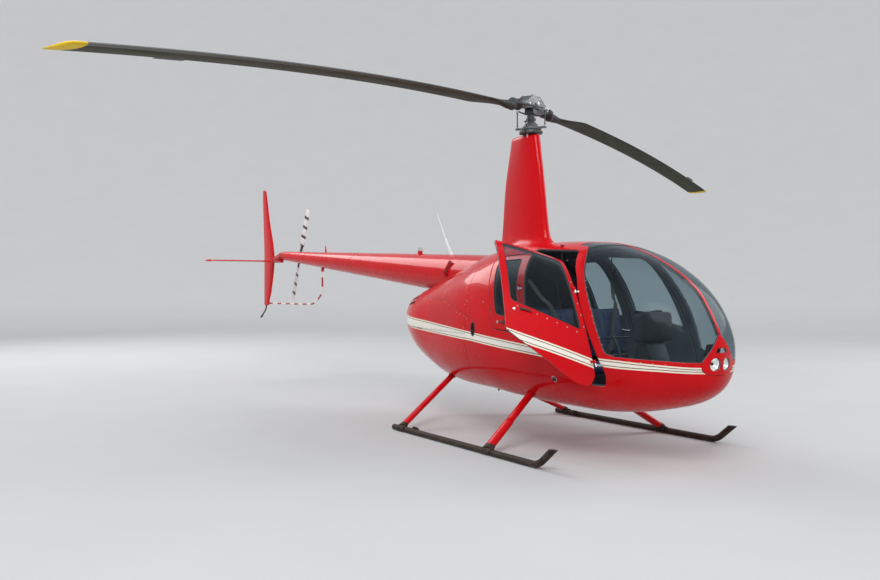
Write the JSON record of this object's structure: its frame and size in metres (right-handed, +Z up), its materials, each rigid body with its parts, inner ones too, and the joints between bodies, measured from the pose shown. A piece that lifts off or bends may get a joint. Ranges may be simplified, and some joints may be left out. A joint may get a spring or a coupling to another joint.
{
  "type": "helicopter",
  "caption": "Light single-engine helicopter with a teetering main rotor on a tall mast fairing, hinged cabin doors, a tail rotor with guard and a skid landing gear.",
  "frame": {"origin": "on the ground in the plane of symmetry, halfway between the nose and the tip of the tail skid", "axes": "+X forward to the nose, +Y to the left, +Z up"},
  "size_m": [8.9961, 9.4197, 3.2482],
  "materials": {
    "red_paint": "gloss",
    "tinted_glass": "gloss",
    "bright_metal": "satin",
    "engine_metal": "matte",
    "black_plastic": "matte",
    "blade_paint": "matte",
    "blue_leather": "satin",
    "cabin_lining": "matte",
    "white_plastic": "gloss",
    "skid_finish": "satin",
    "banded_paint": "satin",
    "tail_rotor_paint": "satin"
  },
  "bodies": {
    "airframe": {"windshield_post_right": "red_paint", "side_frame_right": "red_paint", "engine_cowl_right": "red_paint", "windshield_right": "tinted_glass", "front_seat_cushion_right": "blue_leather", "front_seat_back_right": "blue_leather", "strut_front_right": "red_paint", "strut_rear_right": "red_paint", "skid_right": "skid_finish", "windshield_post_left": "red_paint", "side_frame_left": "red_paint", "engine_cowl_left": "red_paint", "windshield_left": "tinted_glass", "front_seat_cushion_left": "blue_leather", "front_seat_back_left": "blue_leather", "strut_front_left": "red_paint", "strut_rear_left": "red_paint", "skid_left": "skid_finish", "cabin_tub": "red_paint", "nose_shield": "red_paint", "windshield_divider": "red_paint", "cabin_roof": "red_paint", "engine_belly": "red_paint", "mast_fairing": "red_paint", "tailcone": "red_paint", "tail_gearbox": "red_paint", "tail_fin": "red_paint", "stabiliser": "red_paint", "cabin_floor": "cabin_lining", "firewall": "cabin_lining", "front_seat_base": "cabin_lining", "rear_seat_base": "cabin_lining", "rear_seat_cushion": "blue_leather", "rear_seat_back": "blue_leather", "engine": "engine_metal", "console": "black_plastic", "cyclic_stick": "black_plastic", "pedals": "bright_metal", "swashplate": "bright_metal", "tail_guard": "banded_paint", "whip_antenna": "white_plastic", "beacon": "tinted_glass"},
    "rotor_mast": {"rotor_mast": "bright_metal"},
    "rotor_head": {"rotor_hub": "bright_metal", "rotor_blade_a": "blade_paint", "rotor_blade_b": "blade_paint"},
    "tail_rotor": {"tail_rotor": "tail_rotor_paint"},
    "front_door_right": {"front_door_right": "red_paint", "front_door_window_right": "tinted_glass"},
    "front_door_left": {"front_door_left": "red_paint", "front_door_window_left": "tinted_glass"},
    "rear_door_right": {"rear_door_right": "red_paint", "rear_door_window_right": "tinted_glass"},
    "rear_door_left": {"rear_door_left": "red_paint", "rear_door_window_left": "tinted_glass"}
  },
  "joints": [
    {"name": "main_rotor_spin", "type": "hinge", "parent": "airframe", "child": "rotor_mast", "pos_m": [2.215, 0, 2.97], "axis": [0, 0, 1], "continuous": true},
    {"name": "main_rotor_teeter", "type": "hinge", "parent": "rotor_mast", "child": "rotor_head", "pos_m": [2.215, 0, 3.16], "axis": [-0.9212, -0.3891, 0], "range_deg": [-6, 6]},
    {"name": "tail_rotor_spin", "type": "hinge", "parent": "airframe", "child": "tail_rotor", "pos_m": [-3.665, 0.294, 1.828], "axis": [0, 1, 0], "continuous": true},
    {"name": "front_door_right_hinge", "type": "hinge", "parent": "airframe", "child": "front_door_right", "pos_m": [3.781, -0.62365, 0.815], "axis": [-0.4444, 0.0638, 0.8935], "range_deg": [-60, 25]},
    {"name": "front_door_left_hinge", "type": "hinge", "parent": "airframe", "child": "front_door_left", "pos_m": [3.781, 0.62365, 0.815], "axis": [0.4444, 0.0638, -0.8935], "range_deg": [0, 85]},
    {"name": "rear_door_right_hinge", "type": "hinge", "parent": "airframe", "child": "rear_door_right", "pos_m": [2.907, -0.6577, 1.08], "axis": [-0.3261, 0.1347, 0.9357], "range_deg": [0, 80]},
    {"name": "rear_door_left_hinge", "type": "hinge", "parent": "airframe", "child": "rear_door_left", "pos_m": [2.907, 0.6577, 1.08], "axis": [0.3261, 0.1347, -0.9357], "range_deg": [0, 80]}
  ]
}
